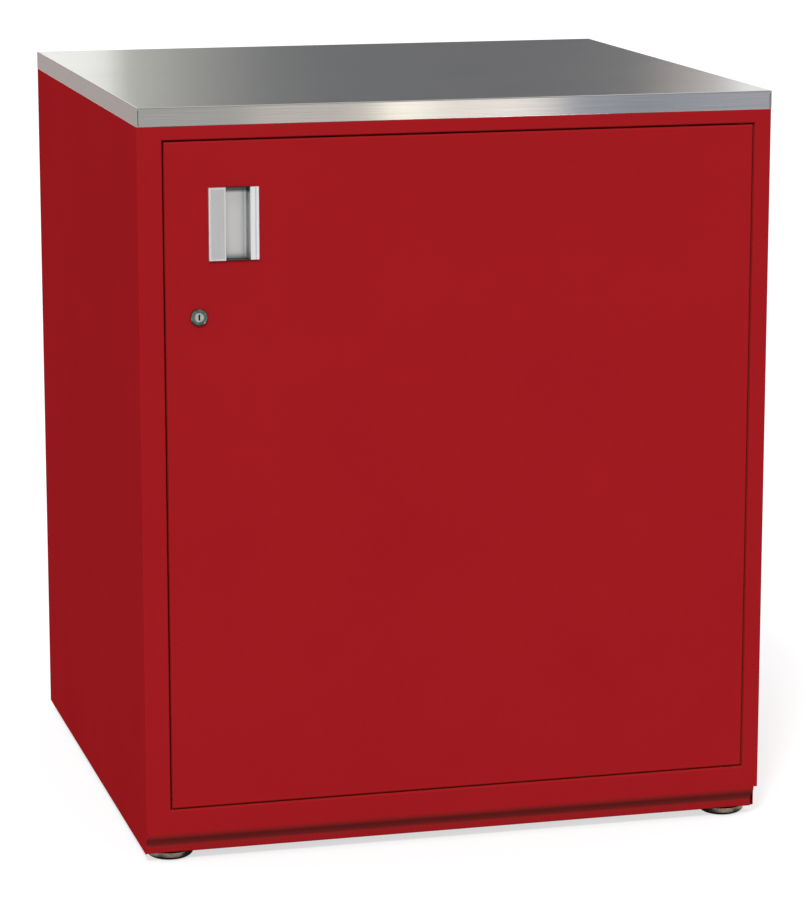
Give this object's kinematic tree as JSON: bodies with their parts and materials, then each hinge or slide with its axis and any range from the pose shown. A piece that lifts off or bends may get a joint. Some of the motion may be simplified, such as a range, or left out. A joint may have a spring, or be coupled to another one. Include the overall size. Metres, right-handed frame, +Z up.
{
  "type": "locking storage cabinet",
  "caption": "Red steel base cabinet with a stainless worktop, an inset locking door on pivot pins, a flush pull, an adjustable shelf and levelling feet.",
  "frame": {"origin": "on the floor, at the middle of the cabinet's outline with the pull and the lock counted in", "axes": "+X to the right of a person facing the door, +Y from the door towards the back, +Z up"},
  "size_m": [0.762, 0.714, 0.895],
  "materials": {
    "red_paint": "satin powder coat",
    "stainless": "brushed",
    "core_board": "raw board",
    "zinc_steel": "bright zinc",
    "nickel_foot": "nickel plate",
    "black_plastic": "moulded",
    "nylon": "moulded, black",
    "black_steel": "black oxide",
    "rubber": "moulded",
    "magnet": "ground",
    "satin_aluminium": "satin anodised",
    "lock_chrome": "polished"
  },
  "bodies": {
    "cabinet": {"left_side_panel": "red_paint", "right_side_panel": "red_paint", "back_panel": "red_paint", "floor_pan": "red_paint", "front_base_channel": "red_paint", "rear_base_channel": "red_paint", "top_front_rail": "red_paint", "top_rear_rail": "red_paint", "top_cleat_left": "red_paint", "top_cleat_right": "red_paint", "shelf": "red_paint", "worktop_skin": "stainless", "worktop_core": "core_board", "shelf_standard_front_left": "zinc_steel", "shelf_standard_front_right": "zinc_steel", "shelf_standard_rear_left": "zinc_steel", "shelf_standard_rear_right": "zinc_steel", "shelf_clips": "zinc_steel", "worktop_screws": "zinc_steel", "catch_screws": "zinc_steel", "foot_weld_nuts": "zinc_steel", "catch_housing": "black_plastic", "floor_plugs": "black_plastic", "pivot_pin_bottom": "black_steel", "pivot_pin_top": "black_steel", "door_bumpers": "rubber", "catch_magnet": "magnet"},
    "door": {"door_pan": "red_paint", "door_stiffener_1": "red_paint", "door_stiffener_2": "red_paint", "hinge_block_bottom": "zinc_steel", "hinge_block_top": "zinc_steel", "pivot_bush_bottom": "nylon", "pivot_bush_top": "nylon", "pull_body": "satin_aluminium", "pull_end_caps": "black_plastic", "pull_bridges": "zinc_steel", "pull_screws": "zinc_steel", "catch_strike": "zinc_steel", "strike_rivets": "zinc_steel", "lock_barrel": "lock_chrome", "lock_nut": "zinc_steel"},
    "lock": {"lock_plug": "lock_chrome", "lock_cam": "zinc_steel", "cam_screw": "zinc_steel"},
    "foot_front_left": {"foot_pad_front_left": "nickel_foot"},
    "stud_front_left": {"foot_stud_front_left": "zinc_steel"},
    "foot_front_right": {"foot_pad_front_right": "nickel_foot"},
    "stud_front_right": {"foot_stud_front_right": "zinc_steel"},
    "foot_rear_left": {"foot_pad_rear_left": "nickel_foot"},
    "stud_rear_left": {"foot_stud_rear_left": "zinc_steel"},
    "foot_rear_right": {"foot_pad_rear_right": "nickel_foot"},
    "stud_rear_right": {"foot_stud_rear_right": "zinc_steel"}
  },
  "joints": [
    {"name": "door_hinge", "type": "hinge", "parent": "cabinet", "child": "door", "pos_m": [0.3443, -0.346, 0.455], "axis": [0, 0, 1], "range_deg": [0, 115]},
    {"name": "lock_turn", "type": "hinge", "parent": "door", "child": "lock", "pos_m": [-0.3116, -0.354, 0.6528], "axis": [0, 1, 0], "range_deg": [0, 90]},
    {"name": "level_front_left", "type": "slide", "parent": "cabinet", "child": "foot_front_left", "axis": [0, 0, 1], "range_m": [-0.01, 0]},
    {"name": "screw_front_left", "type": "hinge", "parent": "foot_front_left", "child": "stud_front_left", "pos_m": [-0.347, -0.316, 0.015], "axis": [0, 0, 1], "range_deg": [-2401, 1]},
    {"name": "level_front_right", "type": "slide", "parent": "cabinet", "child": "foot_front_right", "axis": [0, 0, 1], "range_m": [-0.01, 0]},
    {"name": "screw_front_right", "type": "hinge", "parent": "foot_front_right", "child": "stud_front_right", "pos_m": [0.347, -0.316, 0.015], "axis": [0, 0, 1], "range_deg": [-2401, 1]},
    {"name": "level_rear_left", "type": "slide", "parent": "cabinet", "child": "foot_rear_left", "axis": [0, 0, 1], "range_m": [-0.01, 0]},
    {"name": "screw_rear_left", "type": "hinge", "parent": "foot_rear_left", "child": "stud_rear_left", "pos_m": [-0.347, 0.319, 0.015], "axis": [0, 0, 1], "range_deg": [-2401, 1]},
    {"name": "level_rear_right", "type": "slide", "parent": "cabinet", "child": "foot_rear_right", "axis": [0, 0, 1], "range_m": [-0.01, 0]},
    {"name": "screw_rear_right", "type": "hinge", "parent": "foot_rear_right", "child": "stud_rear_right", "pos_m": [0.347, 0.319, 0.015], "axis": [0, 0, 1], "range_deg": [-2401, 1]}
  ],
  "couplings": [
    {"joint": "screw_front_left", "follows": "level_front_left", "rad_per_m": 4188.8},
    {"joint": "screw_front_right", "follows": "level_front_right", "rad_per_m": 4188.8},
    {"joint": "screw_rear_left", "follows": "level_rear_left", "rad_per_m": 4188.8},
    {"joint": "screw_rear_right", "follows": "level_rear_right", "rad_per_m": 4188.8}
  ]
}
